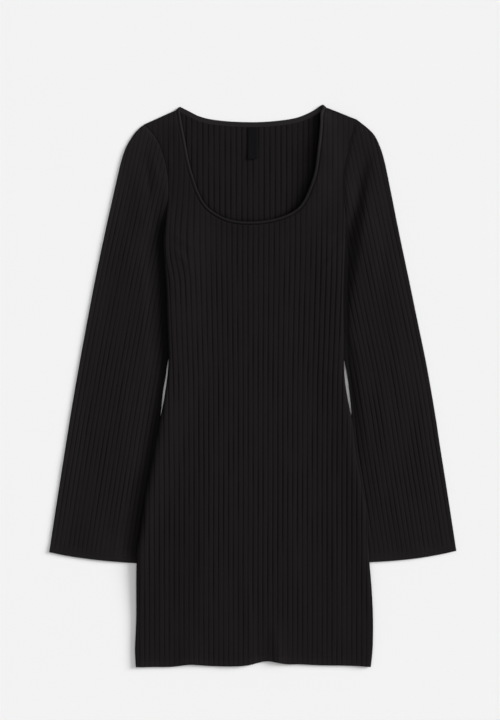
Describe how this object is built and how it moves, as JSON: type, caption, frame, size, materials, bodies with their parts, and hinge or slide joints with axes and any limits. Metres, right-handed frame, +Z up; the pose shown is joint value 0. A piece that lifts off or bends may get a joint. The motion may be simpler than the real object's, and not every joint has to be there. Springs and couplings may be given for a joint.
{
  "type": "bodycon dress",
  "caption": "Long-sleeved rib-knit bodycon dress with a wide scoop neck and flared cuffs, laid out flat, face up.",
  "frame": {"origin": "middle of the laid-out dress's outline, on the surface that it lies on", "axes": "+X across the dress, towards the wearer's left sleeve; +Y from the hem to the neck; +Z up, off the surface"},
  "size_m": [0.6102, 0.842, 0.0086],
  "materials": {
    "rib_knit": "matte black rib knit",
    "neck_binding": "matte black knit binding, stitched",
    "label_satin": "black woven satin, bare"
  },
  "bodies": {
    "root": {"front_panel": "rib_knit", "back_panel": "rib_knit", "sleeve_left": "rib_knit", "sleeve_right": "rib_knit", "neck_band": "neck_binding", "label": "label_satin"}
  },
  "joints": []
}
